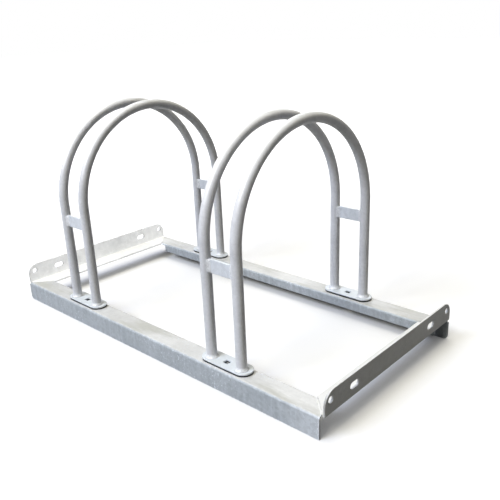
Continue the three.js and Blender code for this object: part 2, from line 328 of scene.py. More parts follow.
def addRuns(board, look, place, level, colour):
    # runs left by the bath: down the upright faces and along the level ones
    down = addGrain(board, "downRuns", place)
    along = addGrain(board, "alongRuns", place, *zinc["alongRunRange"])
    run = board.shares((down, board.opposite(level)), (along, level))
    shade = board.spread(run, *zinc["runRange"], 1 - look["streaks"], 1 + look["streaks"] / 2)
    return board.shaded(colour, shade)


def addFlecks(board, look, place, level, colour):
    # small light specks, in drifts
    speck = addGrain(board, "speck", place)
    drift = addGrain(board, "drift", place, 0.0, look["fleck"])
    bright = opaque(min(1.0, channel * zinc["fleckLift"]) for channel in look["light"])
    return board.blend("MIX", board.maths("MULTIPLY", speck, drift), colour, bright)


def addBuildAndHighlight(board, look, place, level, colour):
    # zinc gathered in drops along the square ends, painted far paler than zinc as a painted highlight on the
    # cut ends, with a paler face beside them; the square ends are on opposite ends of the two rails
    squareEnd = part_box("near_rail")[1].x
    x, y, _ = board.axes(place)
    fromMiddle = board.maths("MULTIPLY", x, board.maths("SIGN", board.maths("MULTIPLY", y, -1.0)))
    ragged = addGrain(board, "drops", place, *zinc["dropReach"])
    start = board.maths("SUBTRACT", squareEnd, board.maths("MULTIPLY", ragged, look["build"]))
    drops = board.maths("MULTIPLY", board.maths("GREATER_THAN", fromMiddle, start), zinc["dropStrength"])
    begin, full, most = look["paleEnd"]
    paling = board.spread(fromMiddle, squareEnd - begin, squareEnd - full, 0.0, most)
    paling = board.maths("MULTIPLY", paling, board.opposite(level))
    return board.blend("MIX", board.maths("MAXIMUM", drops, paling), colour, opaque(zinc["buildAndHighlightColour"]))


def addStain(board, look, place, level, colour):
    # brownish clouds on top, drawn out along the rails
    cloudy = addGrain(board, "stain", place, 0.0, look["stain"])
    return board.blend("MIX", board.maths("MULTIPLY", cloudy, level), colour, opaque(zinc["stainColour"]))


def addJointShadeAndDirt(board, look, place, level, colour):
    # painted shade with some dirt: the lowest edge of the foot plates is darkened over the joint, where the
    # gap under them lies in shadow
    below, above = zinc["jointShadeAndDirtFade"]
    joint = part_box("right_near_foot_plate")[0].z + look["grime"]
    shadedAndDirty = board.spread(board.axes(place)[2], joint - below, joint + above, 1.0, 0.0)
    return board.blend("MIX", shadedAndDirty, colour, opaque(zinc["jointShadeAndDirtColour"]))


def makeZinc(name, look):
    material = bpy.data.materials.new(name)
    material.use_nodes = True
    board = NodeBoard(material.node_tree)
    shader = material.node_tree.nodes["Principled BSDF"]
    place = board.add("ShaderNodeTexCoord").outputs["Object"]
    # crystals of the zinc, with edges pushed about a little
    wobbleScale = look["spangle"] * zinc["wobbleScale"]
    wobble = board.add("ShaderNodeTexNoise", Vector=place, Scale=wobbleScale, Detail=zinc["wobbleDetail"])
    pushed = board.add("ShaderNodeVectorMath", {"operation": "MULTIPLY_ADD"})
    board.feed(pushed.inputs[0], wobble.outputs["Color"])
    pushed.inputs[1].default_value = (zinc["wobbleReach"] / look["spangle"],) * 3
    board.feed(pushed.inputs[2], place)
    cells = board.add("ShaderNodeTexVoronoi", Vector=pushed.outputs[0], Scale=look["spangle"])
    crystal = board.add("ShaderNodeSeparateColor", Color=cells.outputs["Color"]).outputs[0]
    # clouds a hand wide, then finer ones
    cloud = addGrain(board, "cloud", place)
    patch = addGrain(board, "patch", place)
    tone = board.shares(*zip((cloud, patch), zinc["uprightShares"]))
    upright = board.blend("MIX", tone, opaque(look["dark"]), opaque(look["light"]))
    # painted light from above: faces that look up are made paler and warmer
    facing = board.axes(board.add("ShaderNodeNewGeometry").outputs["Normal"])[2]
    level = board.spread(facing, *look["topFrom"])
    wide = board.shares(*zip((cloud, patch), zinc["topShares"]))
    paintedLitTopColour = board.blend("MIX", wide, opaque(look["topDark"]), opaque(look["topLight"]))
    colour = board.blend("MIX", level, upright, paintedLitTopColour)
    extras = {
        "streaks": addRuns,
        "fleck": addFlecks,
        "build": addBuildAndHighlight,
        "stain": addStain,
        "grime": addJointShadeAndDirt,
    }
    for key, addExtra in extras.items():
        if look.get(key):
            colour = addExtra(board, look, place, level, colour)
    depth = board.spread(level, 0.0, 1.0, look["spangleDepth"], look["spangleDepth"] * zinc["topSpangle"])
    sparkle = board.spread(crystal, 0.0, 1.0, board.opposite(depth), board.maths("ADD", 1.0, depth))
    colour = board.shaded(colour, sparkle)
    gloss = board.shares(*zip((crystal, patch), zinc["glossShares"]))
    rough = board.spread(gloss, 0.0, 1.0, *look["roughness"])
    relief = board.shares(*zip((addGrain(board, "fine", place), patch, crystal), zinc["reliefShares"]))
    bump = board.add("ShaderNodeBump", Height=relief, Strength=look["bump"], Distance=zinc["reliefDepth"])
    board.feed(shader.inputs["Base Color"], colour)
    board.feed(shader.inputs["Roughness"], rough)
    board.feed(shader.inputs["Normal"], bump.outputs[0])
    shader.inputs["Metallic"].default_value = look["metal"]
    shader.inputs["Specular IOR Level"].default_value = look["shine"]
    return material


for finishName, look in finishes.items():
    look["material"] = makeZinc("zinc_" + finishName, look)
print("zinc finishes mixed")

# shapes shared by the pieces

slack = {"cut": 1e-7, "bend": 1e-9, "flat": deg(1)}  # what still counts as one place or one plane
faceWeight = 80  # how far large faces steer the shading of the edges beside them


def arc(centre, radius, start, end, steps):
    # points on a round stretch, angles in degrees
    angles = (deg(start + (end - start) * step / steps) for step in range(steps + 1))
    return [Vector((centre[0] + radius * math.cos(a), centre[1] + radius * math.sin(a))) for a in angles]


def circle(centre, radius, steps):
    return arc(centre, radius, 0, 360, steps)[:-1]


def stadium(centre, length, width, steps):
    # round-ended outline, long along the first axis
    reach = (length - width) / 2
    right = arc((centre[0] + reach, centre[1]), width / 2, -90, 90, steps)
    return right + arc((centre[0] - reach, centre[1]), width / 2, 90, 270, steps)


def roundedBox(centre, size, radius, steps):
    points = []
    for signX, signY, start in ((1, 1, 0), (-1, 1, 90), (-1, -1, 180), (1, -1, 270)):
        corner = (centre[0] + signX * (size[0] / 2 - radius), centre[1] + signY * (size[1] / 2 - radius))
        points += arc(corner, radius, start, start + 90, steps)
    return points


def insetLoop(loop, inset):
    # moves a closed outline into the material, which lies on its left
    moved = []
    for i, point in enumerate(loop):
        before = (point - loop[i - 1]).normalized()
        after = (loop[(i + 1) % len(loop)] - point).normalized()
        sides = Vector((-before.y - after.y, before.x + after.x))
        moved.append(point + sides * inset / (1 + before.dot(after)))
    return moved


def cutSlab(outline, holes, thickness, edge, steps=3, rebate=None):
    # flat plate with softened edges, its face at depth 0, and a step cut under its outer edge if asked for
    quarter = [deg(90 * step / steps) for step in range(steps + 1)]
    profile = [(edge * (1 - math.sin(a)), edge * (1 - math.cos(a))) for a in quarter]
    softened = profile + [(inset, thickness - depth) for inset, depth in reversed(profile)]
    stepped = softened
    if rebate:
        depth, height = rebate
        stepped = profile + [(0, thickness - height - edge / 2), (edge / 2, thickness - height)]
        stepped += [(depth, thickness - height), (depth, thickness)]
    bm = bmesh.new()
    caps = ([], [])
    for loop in [outline] + [hole[::-1] for hole in holes]:
        cut = stepped if loop is outline else softened
        rings = [[bm.verts.new((p.x, p.y, depth)) for p in insetLoop(loop, inset)] for inset, depth in cut]
        for upper, lower in zip(rings, rings[1:]):
            for i in range(len(loop)):
                bm.faces.new((upper[i - 1], upper[i], lower[i], lower[i - 1]))
        for cap, ring in zip(caps, (rings[0], rings[-1])):
            cap += [bm.edges.get((ring[i - 1], ring[i])) for i in range(len(ring))]
    for cap in caps:
        filled = bmesh.ops.triangle_fill(bm, edges=cap, use_beauty=True)["geom"]
        faces = [item for item in filled if isinstance(item, bmesh.types.BMFace)]
        bm.edges.index_update()
        inner = sorted({e for f in faces for e in f.edges} - set(cap), key=lambda edge: edge.index)
        bmesh.ops.dissolve_limit(bm, angle_limit=slack["flat"], edges=inner, verts=[])
    return bm


def cutAcross(bm, places):
    # adds edges across the slab at these places along its first axis
    for place in places:
        geometry = bm.verts[:] + bm.edges[:] + bm.faces[:]
        spot, across = (place, 0, 0), (1, 0, 0)
        bmesh.ops.bisect_plane(bm, geom=geometry, plane_co=spot, plane_no=across, dist=slack["cut"])


def skin(rings, joinEnds=False):
    # closed body through a row of rings with equal counts
    bm = bmesh.new()
    rows = [[bm.verts.new(point) for point in ring] for ring in rings]
    following = rows[1:] + [rows[0]] if joinEnds else rows[1:]
    for first, second in zip(rows, following):
        for i in range(len(first)):
            bm.faces.new((first[i - 1], first[i], second[i], second[i - 1]))
    if not joinEnds:
        bm.faces.new(rows[0])
        bm.faces.new(rows[-1])
    return bm


def fitPiece(name, bm, node, finish, place=Matrix.Identity(4)):
    # turns a shape into the piece that stands for a node
    bmesh.ops.recalc_face_normals(bm, faces=bm.faces)
    bm.transform(place)
    mesh = bpy.data.meshes.new(name)
    bm.to_mesh(mesh)
    bm.free()
    mesh.shade_smooth()
    mesh.materials.append(finish["material"])
    piece = bpy.data.objects.new(name, mesh)
    bpy.context.scene.collection.objects.link(piece)
    even = piece.modifiers.new("evenShading", "WEIGHTED_NORMAL")
    even.weight = faceWeight
    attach(piece, "root")
    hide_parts(node)
    return piece


def halfTurn():
    return Matrix.Rotation(math.pi, 4, "Z")


# folded sheet: a cut blank is bent along straight lines


class Fold:
    # walks along the outer face of a folded sheet, flat stretches and bends in turn

    def __init__(self, start, heading, side, flats, bendRadius):
        self.parts = []
        self.side = side
        self.radius = bendRadius
        at, along, angle = 0.0, Vector(start), heading
        for i, flat in enumerate(flats):
            self.parts.append(("flat", at, flat, along.copy(), angle))
            along += flat * self.direction(angle)
            at += flat
            if i < len(flats) - 1:
                arcLength = bendRadius * math.pi / 2
                self.parts.append(("bend", at, arcLength, along.copy(), angle))
                centre = along - bendRadius * self.outward(angle)
                angle -= side * math.pi / 2
                along = centre + bendRadius * self.outward(angle)
                at += arcLength
        self.length = at

    def direction(self, angle):
        return Vector((math.cos(angle), math.sin(angle)))

    def outward(self, angle):
        return self.side * Vector((-math.sin(angle), math.cos(angle)))

    def point(self, at, depth=0.0):
        for kind, start, length, place, angle in reversed(self.parts):
            if at >= start - slack["bend"]:
                break
        if kind == "flat":
            return place + (at - start) * self.direction(angle) - depth * self.outward(angle)
        centre = place - self.radius * self.outward(angle)
        turned = angle - self.side * (at - start) / self.radius
        return centre + (self.radius - depth) * self.outward(turned)

    def bends(self):
        return [(start, start + length) for kind, start, length, _, _ in self.parts if kind == "bend"]


def bendLines(fold, steps):
    lines = []
    for start, end in fold.bends():
        lines += [start + (end - start) * step / steps for step in range(steps + 1)]
    return lines


# places that several pieces share

ends = ("left", "right")
sides = ("near", "far")
legs = ("outer", "inner")


def legPlace(end, leg, side):
    # the middle of a leg where it stands on its foot plate, and the radius of the bar
    low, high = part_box(f"{end}_{leg}_hoop")
    barRadius = (high.x - low.x) / 2
    y = low.y + barRadius if side == "near" else high.y - barRadius
    return Vector(((low.x + high.x) / 2, y, low.z)), barRadius


# rails

rail = {
    "sheet": 3 * mm,
    "bendRadius": 4 * mm,
    "bendSteps": 8,
    "innerFlange": 17 * mm,
    "innerFlangeEnd": 300 * mm,
    "footRadius": 7 * mm,
    "innerCorner": 4 * mm,
    "footSteps": 6,
    "mitreSteps": 6,
    "cornerSteps": 4,
    "holeDiameter": 9 * mm,
    "holeSteps": 24,
    "mitreRoom": 1.13 * mm,
    "edge": 0.45 * mm,
}

nearLow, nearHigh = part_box("near_rail")
angleLow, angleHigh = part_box("right_end_angle")
mitreOffset = angleLow.x + nearHigh.y  # the mitre line is |x| = |y| + this


def railBlank(fold):
    # outline of the flat blank, u across the folds and v along the rail
    outerBend, innerBend = fold.bends()

    def mitre(u):
        return -fold.point(u).x + mitreOffset - rail["mitreRoom"]

    def mitred(bend):
        steps = rail["mitreSteps"]
        places = (bend[0] + (bend[1] - bend[0]) * k / steps for k in range(steps + 1))
        return [(u, mitre(u)) for u in places]

    def crossing(limit):
        # place on the top face where the mitre comes down to this length
        return outerBend[1] + mitre(outerBend[1]) - limit

    def endPoints(limit, footRadius, flangeEnd):
        # one end from the foot of the outer flange to the edge of the inner one, measured from the middle
        points = []
        if footRadius:
            rounded = arc((footRadius, limit - footRadius), footRadius, 180, 90, rail["footSteps"])
            points += [(p.x, p.y) for p in rounded]
        else:
            points.append((0.0, limit))
        if mitre(outerBend[1]) > limit:
            points.append((crossing(limit), limit))
        else:
            points.append((outerBend[0], limit))
            points += mitred(outerBend)
        points += mitred(innerBend)
        points.append((innerBend[1], flangeEnd))
        corner = rail["innerCorner"]
        rounded = arc((fold.length - corner, flangeEnd - corner), corner, 90, 0, rail["cornerSteps"])
        return points + [(p.x, p.y) for p in rounded]

    squareEnd = [Vector((u, v)) for u, v in endPoints(nearHigh.x, 0, rail["innerFlangeEnd"])]
    flushEnd = [Vector((u, -v)) for u, v in endPoints(-nearLow.x, rail["footRadius"], nearHigh.x)]
    return flushEnd + squareEnd[::-1]


def makeRail(node, side):
    sign = 1 if side == "near" else -1
    height = nearHigh.z
    radius = rail["bendRadius"]
    flats = (height - radius, nearHigh.y - nearLow.y - 2 * radius, rail["innerFlange"] - radius)
    fold = Fold((nearLow.y, 0), math.pi / 2, 1, flats, radius)
    topStart = fold.bends()[0][1] - (nearLow.y + radius)  # add a y on the top face to this to get u
    holes = []
    for end in ends:
        low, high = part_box(f"{end}_{side}_foot_plate")
        middle = (low + high) / 2
        for place in [middle] + [legPlace(end, leg, side)[0] for leg in legs]:
            spot = (topStart + sign * place.y, sign * place.x)
            holes.append(circle(spot, rail["holeDiameter"] / 2, rail["holeSteps"]))
    bm = cutSlab(railBlank(fold), holes, rail["sheet"], rail["edge"])
    cutAcross(bm, bendLines(fold, rail["bendSteps"]))
    for vert in bm.verts:
        y, z = fold.point(vert.co.x, vert.co.z)
        vert.co = (vert.co.y, y, z)
    place = Matrix.Identity(4) if side == "near" else halfTurn()
    fitPiece(node + "_channel", bm, node, finishes["rail"], place)


makeRail("near_rail", "near")
makeRail("far_rail", "far")
print("rails folded")

# end angles

endAngle = {
    "sheet": 3 * mm,
    "bendRadius": 6 * mm,
    "bendSteps": 8,
    "mitreSteps": 8,
    "cornerRadius": 20 * mm,
    "cornerSteps": 12,
    "holeDiameter": 10 * mm,
    "holePlace": (155.5 * mm, 54.5 * mm),  # from the middle, and up from the floor
    "holeSteps": 32,
    "slotSize": (20 * mm, 10 * mm),
    "slotPlace": (103 * mm, 50.5 * mm),
    "slotSteps": 12,
    "edge": 0.45 * mm,
}


def makeEndAngle(node, turned):
    low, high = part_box(node)
    sign = -1 if turned else 1
    radius = endAngle["bendRadius"]
    shift = sign * (low.y + high.y) / 2
    halfLength = (high.y - low.y) / 2
    flats = (angleHigh.x - angleLow.x - radius, angleHigh.z - angleLow.z - radius)
    fold = Fold((angleLow.x, angleLow.z), 0, -1, flats, radius)
    bendStart, bendEnd = fold.bends()[0]
    upright = bendEnd - (angleLow.z + radius)  # add a height on the upstand to this to get u

    def endPoints(signY):
        # one end from the flange's free edge to the top corner of the upstand
        reach = halfLength + signY * shift
        points = [(0.0, fold.point(0).x - mitreOffset - rail["mitreRoom"])]
        for k in range(endAngle["mitreSteps"]):
            u = bendStart + (bendEnd - bendStart) * k / endAngle["mitreSteps"]
            points.append((u, min(reach, fold.point(u).x - mitreOffset - rail["mitreRoom"])))
        points.append((bendEnd, reach))
        corner = endAngle["cornerRadius"]
        rounded = arc((fold.length - corner, reach - corner), corner, 90, 0, endAngle["cornerSteps"])
        return points + [(p.x, p.y) for p in rounded]

    outline = [Vector((u, v)) for u, v in endPoints(1)][::-1]
    outline = [Vector((u, -v)) for u, v in endPoints(-1)] + outline
    holes = []
    holeY, holeZ = endAngle["holePlace"]
    slotY, slotZ = endAngle["slotPlace"]
    length, width = endAngle["slotSize"]
    lying = stadium((0, 0), length, width, endAngle["slotSteps"])
    for signY in (-1, 1):
        spot = (upright + holeZ, signY * holeY + shift)
        holes.append(circle(spot, endAngle["holeDiameter"] / 2, endAngle["holeSteps"]))
        holes.append([Vector((upright + slotZ - p.y, signY * slotY + shift + p.x)) for p in lying])
    bm = cutSlab(outline, holes, endAngle["sheet"], endAngle["edge"])
    cutAcross(bm, bendLines(fold, endAngle["bendSteps"]))
    for vert in bm.verts:
        x, z = fold.point(vert.co.x, vert.co.z)
        vert.co = (x, vert.co.y, z)
    place = halfTurn() if turned else Matrix.Identity(4)
    fitPiece(node + "_plate", bm, node, finishes["angle"], place)


makeEndAngle("right_end_angle", False)
makeEndAngle("left_end_angle", True)
print("end angles folded")

# hoops

hoop = {
    "sides": 48,
    "archSteps": 120,
    "legSteps": 16,
    "holeDiameter": 8.6 * mm,
    "holeDepth": 18 * mm,
    "edge": 0.5 * mm,
    "unevenness": 0.07 * mm,
    "unevenScale": 90,
    "unevenDrop": 0.5,  # share of the unevenness that is taken off all round
}


def makeHoop(node):
    low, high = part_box(node)
    barRadius = (high.x - low.x) / 2
    x, middleY = (low.x + high.x) / 2, (low.y + high.y) / 2
    bendRadius = (high.y - low.y) / 2 - barRadius
    archZ = high.z - barRadius - bendRadius

    def ring(centre, outward, radius):
        points = []
        for side in range(hoop["sides"]):
            a = 2 * math.pi * side / hoop["sides"]
            spoke = Vector((math.cos(a), 0, 0)) + math.sin(a) * outward
            swell = noise.noise((centre + spoke * radius) * hoop["unevenScale"]) - hoop["unevenDrop"]
            points.append(centre + spoke * (radius + hoop["unevenness"] * swell))
        return points

    def footRings(y, outward):
        # from the bottom of the screw's hole, round the end of the leg and up its side
        hole = hoop["holeDiameter"] / 2
        edge = hoop["edge"]
        stops = [(hoop["holeDepth"], hole), (edge, hole), (0, hole + edge)]
        stops += [(0, barRadius - edge), (edge, barRadius)]
        legLength = archZ - low.z
        stops += [(legLength * step / hoop["legSteps"], barRadius) for step in range(1, hoop["legSteps"])]
        return [ring(Vector((x, y, low.z + rise)), outward, radius) for rise, radius in stops]

    rings = footRings(middleY - bendRadius, Vector((0, -1, 0)))
    for step in range(hoop["archSteps"] + 1):
        turn = math.pi * step / hoop["archSteps"]
        outward = Vector((0, -math.cos(turn), math.sin(turn)))
        rings.append(ring(Vector((x, middleY, archZ)) + bendRadius * outward, outward, barRadius))
    rings += footRings(middleY + bendRadius, Vector((0, 1, 0)))[::-1]
    fitPiece(node + "_bar", skin(rings), node, finishes["bar"])


for end in ends:
    for leg in legs:
        makeHoop(f"{end}_{leg}_hoop")
print("hoops bent")

# foot plates

footPlate = {
    "squareHole": 9 * mm,
    "squareCorner": 0.9 * mm,
    "squareSteps": 3,
    "screwHole": 9 * mm,
    "holeSteps": 24,
    "endSteps": 24,
    "edge": 0.8 * mm,
    "edgeSteps": 4,
    "rebate": (0.8 * mm, 2.6 * mm),  # inwards and upwards, the joint over the rail
}


def makeFootPlate(end, side):
    node = f"{end}_{side}_foot_plate"
    low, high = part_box(node)
    centre = (low + high) / 2
    middle = (centre.x, centre.y)
    outline = stadium(middle, high.x - low.x, high.y - low.y, footPlate["endSteps"])
    square = (footPlate["squareHole"],) * 2
    holes = [roundedBox(middle, square, footPlate["squareCorner"], footPlate["squareSteps"])]
    for leg in legs:
        foot, _ = legPlace(end, leg, side)
        holes.append(circle((foot.x, foot.y), footPlate["screwHole"] / 2, footPlate["holeSteps"]))
    edge, steps = footPlate["edge"], footPlate["edgeSteps"]
    bm = cutSlab(outline, holes, high.z - low.z, edge, steps, footPlate["rebate"])
    faceUp = Matrix.Translation((0, 0, high.z)) @ Matrix.Scale(-1, 4, (0, 0, 1))
    fitPiece(node + "_cut", bm, node, finishes["flat"], faceUp)


for end in ends:
    for side in sides:
        makeFootPlate(end, side)
print("foot plates cut")

# spacer bars

spacerBar = {"corner": 0.8 * mm, "cornerSteps": 3, "edge": 0.7 * mm}


def makeSpacerBar(end, side):
    node = f"{end}_{side}_spacer_bar"
    low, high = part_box(node)
    centre = (low + high) / 2
    size = (high.x - low.x, high.z - low.z)
    outline = roundedBox((centre.x, centre.z), size, spacerBar["corner"], spacerBar["cornerSteps"])
    bm = cutSlab(outline, [], high.y - low.y, spacerBar["edge"])
    upright = Matrix(((1, 0, 0, 0), (0, 0, 1, low.y), (0, 1, 0, 0), (0, 0, 0, 1)))
    for vert in bm.verts:
        vert.co = upright @ vert.co
    fitPiece(node + "_flat", bm, node, finishes["flat"])


for end in ends:
    for side in sides:
        makeSpacerBar(end, side)
print("spacer bars cut")

# fillet welds round the feet of the legs

legWeld = {
    "baseWidth": 2.4 * mm,
    "topWidth": 0.10 * mm,
    "sink": 0.25 * mm,  # how far the bead reaches into the bar
    "hollow": 1.7,  # how strongly the face is drawn in
    "steps": 96,
    "faceSteps": 10,
    "ripples": 28,
    "rippleHeight": 0.12 * mm,
    "rippleLean": 2.5,
    "rippleStart": 0.15,  # how far on the ripples are in their swell at the foot of the bead
    "unevenness": 0.4 * mm,
    "unevenScale": 50,
    "unevenRound": 1.7,  # how fast the width changes round the leg
}


def makeLegWeld(end, leg, side):
    node = f"{end}_{leg}_{side}_leg_weld"
    foot, barRadius = legPlace(end, leg, side)
    low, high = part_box(node)
    tall = high.z - low.z
    inside = barRadius - legWeld["sink"]
    rings = []
    for step in range(legWeld["steps"]):
        turn = 2 * math.pi * step / legWeld["steps"]
        outward = Vector((math.cos(turn), math.sin(turn), 0))
        spot = foot * legWeld["unevenScale"] + outward * legWeld["unevenRound"]
        uneven = legWeld["unevenness"] * noise.noise(spot)
        ring = [foot + outward * inside]
        for k in range(legWeld["faceSteps"] + 1):
            up = k / legWeld["faceSteps"]
            width = legWeld["topWidth"] + (legWeld["baseWidth"] + uneven) * (1 - up) ** legWeld["hollow"]
            ripple = math.sin(legWeld["ripples"] * turn + legWeld["rippleLean"] * up)
            ripple *= math.sin(math.pi * min(1, up + legWeld["rippleStart"]))
            reach = barRadius + width + legWeld["rippleHeight"] * ripple
            ring.append(foot + outward * reach + Vector((0, 0, tall * up)))
        ring.append(foot + outward * inside + Vector((0, 0, tall)))
        rings.append(ring)
    fitPiece(node + "_bead", skin(rings, True), node, finishes["weld"])


# welds between the spacer bars and the legs

spacerWeld = {
    "wrap": 52,  # degrees round the leg
    "lap": 2.8 * mm,  # along the bar's face
    "sink": 0.2 * mm,  # into the bar and the leg
    "hollow": 1.4 * mm,
    "hollowPlace": 0.4 * mm,  # short of the bar's end
    "bite": 0.6 * mm,  # into the bar's end, where the bead's two halves meet
    "backFlat": 0.98,  # the bead's back inside the leg, beside its corners' distance from the leg's middle
    "faceSteps": 8,
    "steps": 76,
    "ripplePitch": 1.7 * mm,
    "rippleDepth": 0.14,
    "endRun": 2.2 * mm,
    "endSize": 0.45,  # beside the full size
    "endWrap": 0.6,  # share of the wrap that doesn't shrink with the size
}


def makeSpacerWeld(end, leg, side):
    node = f"{end}_{leg}_{side}_spacer_weld"
    foot, barRadius = legPlace(end, leg, side)
    weldLow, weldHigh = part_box(node)
    barLow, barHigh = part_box(f"{end}_{side}_spacer_bar")
    towards = 1 if barLow.x > foot.x else -1
    barEnd = (barLow.x - foot.x) if towards > 0 else (foot.x - barHigh.x)
    barFace = (barHigh.y - barLow.y) / 2
    inside = barRadius - spacerWeld["sink"]
    tall = weldHigh.z - weldLow.z

    def section(height):
        # the lower half of the outline, then the upper one mirrored
        fromEnd = min(height, tall - height)
        grown = math.sqrt(min(1.0, fromEnd / spacerWeld["endRun"]))
        full = spacerWeld["endSize"] + (1 - spacerWeld["endSize"]) * grown
        swing = math.sin(2 * math.pi * height / spacerWeld["ripplePitch"])
        size = full * (1 + spacerWeld["rippleDepth"] * swing)
        wrap = deg(spacerWeld["wrap"]) * (spacerWeld["endWrap"] + (1 - spacerWeld["endWrap"]) * size)
        start = Vector((math.cos(wrap), -math.sin(wrap))) * inside
        toe = Vector((barEnd + spacerWeld["lap"] * size, -barFace + spacerWeld["sink"]))
        pull = Vector((barEnd - spacerWeld["hollowPlace"], -barFace - spacerWeld["hollow"] * size))
        lower = []
        for k in range(spacerWeld["faceSteps"] + 1):
            t = k / spacerWeld["faceSteps"]
            lower.append((1 - t) ** 2 * start + 2 * t * (1 - t) * pull + t * t * toe)
        lower.append(Vector((barEnd + spacerWeld["bite"], 0)))
        upper = [Vector((p.x, -p.y)) for p in lower[-2::-1]]
        return lower + upper + [Vector((inside * spacerWeld["backFlat"], 0))]

    rings = []
    for step in range(spacerWeld["steps"] + 1):
        height = tall * step / spacerWeld["steps"]
        z = weldLow.z + height
        rings.append([Vector((foot.x + towards * p.x, foot.y + p.y, z)) for p in section(height)])
    fitPiece(node + "_bead", skin(rings), node, finishes["weld"])


# butt welds along the mitres

cornerWeld = {
    "capWidth": 3.4 * mm,
    "capHeight": 0.35 * mm,
    "capSink": 0.1 * mm,  # where the cap meets the root
    "rootWidth": 1 * mm,
    "rootCover": 1.2,  # the cap's least width, beside the root's
    "start": 6 * mm,
    "end": 40 * mm,
    "rootDepth": 2.7 * mm,
    "ripplePitch": 1.5 * mm,
    "rippleHeight": 0.08 * mm,
    "crescent": 110000,  # ripples by which a place off the middle is ahead, per square metre
    "endRun": 2.5 * mm,  # over which the ends come to full width
    "endRoom": 0.15 * mm,
    "unevenness": 0.08,
    "unevenScale": 40,
    "unevenPace": 300,  # along the seam
    "faceSteps": 10,
    "steps": 170,
}


def makeCornerWeld(end, side):
    node = f"{end}_{side}_corner_weld"
    signX = 1 if end == "right" else -1
    signY = 1 if side == "far" else -1
    inner = Vector((signX * angleLow.x, signY * -nearHigh.y, nearHigh.z))
    run = cornerWeld["end"] - cornerWeld["start"]
    root = cornerWeld["rootWidth"] / 2
    capFoot = -cornerWeld["capSink"]
    rings = []
    for step in range(cornerWeld["steps"] + 1):
        along = run * step / cornerWeld["steps"]
        fromEnd = min(along, run - along)
        taper = math.sqrt(min(1.0, (fromEnd + cornerWeld["endRoom"]) / cornerWeld["endRun"]))
        spot = inner * cornerWeld["unevenScale"] + Vector((along * cornerWeld["unevenPace"], 0, 0))
        uneven = 1 + cornerWeld["unevenness"] * noise.noise(spot)
        half = max(cornerWeld["capWidth"] / 2 * taper * uneven, root * cornerWeld["rootCover"])
        ring = [(-root, -cornerWeld["rootDepth"]), (root, -cornerWeld["rootDepth"]), (root, capFoot)]
        for k in range(cornerWeld["faceSteps"] + 1):
            across = half * math.cos(math.pi * k / cornerWeld["faceSteps"])
            crown = math.sin(math.pi * k / cornerWeld["faceSteps"])
            phase = 2 * math.pi * (along / cornerWeld["ripplePitch"] + cornerWeld["crescent"] * across ** 2)
            ripple = cornerWeld["rippleHeight"] * crown * math.sin(phase)
            ring.append((across, cornerWeld["capHeight"] * taper * crown + ripple))
        ring.append((-root, capFoot))
        rings.append([Vector((cornerWeld["start"] + along, y, z)) for y, z in ring])
    place = Matrix.Translation(inner) @ Matrix.Rotation(math.atan2(signY, signX), 4, "Z")
    fitPiece(node + "_bead", skin(rings), node, finishes["angle"], place)


for end in ends:
    for side in sides:
        makeCornerWeld(end, side)
        for leg in legs:
            makeLegWeld(end, leg, side)
            makeSpacerWeld(end, leg, side)
print("welds laid")

# screws and washers under the feet

screw = {
    "headWidth": 13 * mm,
    "headHeight": 5.5 * mm,
    "faceWidth": 12.2 * mm,  # washer face and chamfer circle
    "faceHeight": 0.4 * mm,
    "chamferHeight": 1.2 * mm,
    "chamferSlope": 1.7,  # how far it widens as it rises
    "chamferSteps": 5,
    "diameter": 7.9 * mm,
    "pitch": 1.25 * mm,
    "threadDepth": 0.6 * mm,
    "threadSteps": 6,  # rings a pitch
    "pointLength": 1.2 * mm,
    "pointTaper": 0.3,
    "sides": 48,
}

washer = {"bore": 8.6 * mm, "edge": 0.2 * mm, "edgeSteps": 3, "steps": 64}


def makeScrew(end, leg, side):
    node = f"{end}_{leg}_{side}_foot_screw"
    foot, _ = legPlace(end, leg, side)
    low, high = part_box(node)
    underHead = low.z + screw["headHeight"]
    count = screw["sides"]

    def hexagon(a):
        sixth = math.pi / 3
        return screw["headWidth"] / 2 / math.cos((a + sixth / 2) % sixth - sixth / 2)

    def ring(z, radiusAt):
        points = []
        for k in range(count):
            a = 2 * math.pi * k / count
            reach = radiusAt(a)
            points.append(Vector((foot.x + reach * math.cos(a), foot.y + reach * math.sin(a), z)))
        return points

    rings = []
    face = screw["faceWidth"] / 2
    for k in range(screw["chamferSteps"] + 1):
        rise = screw["chamferHeight"] * k / screw["chamferSteps"]

        def chamfered(a, widest=face + rise * screw["chamferSlope"]):
            return min(hexagon(a), widest)

        rings.append(ring(low.z + rise, chamfered))
    rings.append(ring(underHead - screw["faceHeight"], hexagon))
    rings.append(ring(underHead - screw["faceHeight"], lambda a: face))
    rings.append(ring(underHead, lambda a: face))
    shank = screw["diameter"] / 2
    length = high.z - underHead
    steps = round(length / screw["pitch"] * screw["threadSteps"])
    taper = screw["pointTaper"]
    for k in range(steps + 1):
        z = underHead + length * k / steps
        point = min(1.0, 1 - taper + taper * (high.z - z) / screw["pointLength"])

        def thread(a, z=z, point=point):
            wave = (z / screw["pitch"] - a / (2 * math.pi)) % 1
            return shank * point - screw["threadDepth"] * abs(2 * wave - 1)

        rings.append(ring(z, thread))
    fitPiece(node + "_threaded", skin(rings), node, finishes["fastener"])


